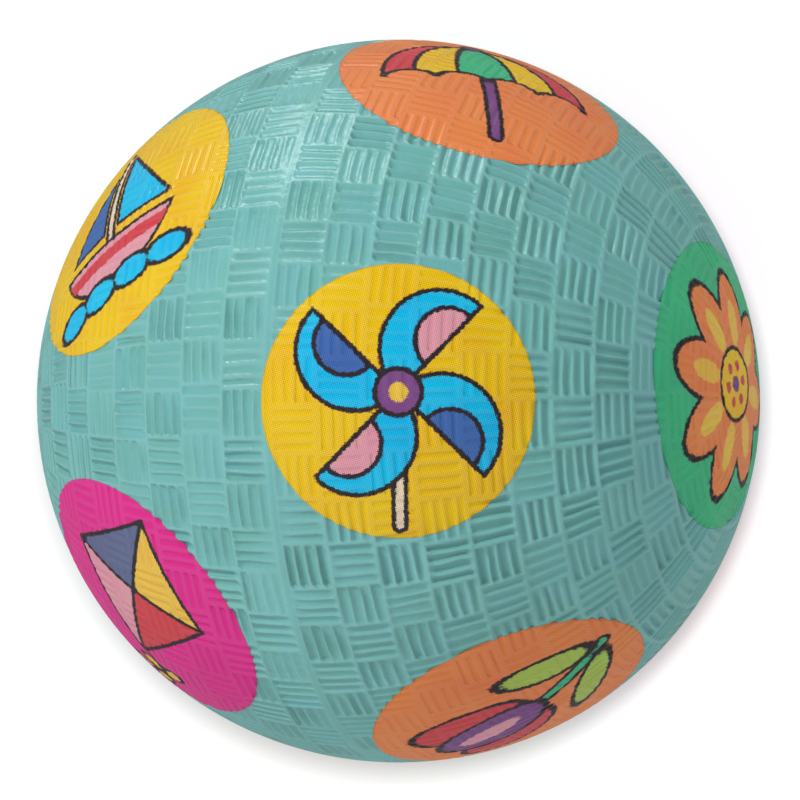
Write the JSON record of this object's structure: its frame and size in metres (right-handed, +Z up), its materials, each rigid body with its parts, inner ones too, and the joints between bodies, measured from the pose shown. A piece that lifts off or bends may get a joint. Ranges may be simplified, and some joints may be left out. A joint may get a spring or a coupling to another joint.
{
  "type": "rubber play ball",
  "caption": "Inflatable rubber play ball moulded in two woven-texture halves, with round colour prints and a push-in plug valve for an inflating needle.",
  "frame": {"origin": "centre of the ball", "axes": "+X along the moulding axis to the pole of the plain half, -X out through the valve, +Z up"},
  "size_m": [0.178, 0.178, 0.179],
  "materials": {
    "teal_rubber": "moulded satin teal rubber with a woven relief",
    "valve_rubber": "moulded matt black rubber",
    "yellow_ink": "satin elastic ink, yellow ground",
    "green_ink": "satin elastic ink, green ground",
    "orange_ink": "satin elastic ink, orange ground",
    "magenta_ink": "satin elastic ink, magenta ground"
  },
  "bodies": {
    "ball": {"shell_half_plain": "teal_rubber", "shell_half_valve": "teal_rubber", "valve_boss": "valve_rubber", "print_pinwheel": "yellow_ink", "print_flower": "green_ink", "print_parasol": "orange_ink", "print_sailboat": "yellow_ink", "print_kite": "magenta_ink", "print_tulip": "orange_ink", "print_spinning_top": "magenta_ink", "print_leaf": "green_ink", "print_balloon": "yellow_ink", "print_heart": "magenta_ink", "print_moon": "orange_ink"},
    "plug": {"valve_plug": "valve_rubber"}
  },
  "joints": [
    {"name": "valve_plug_pull", "type": "slide", "parent": "ball", "child": "plug", "axis": [-1, 0, 0], "range_m": [0, 0.022]}
  ]
}
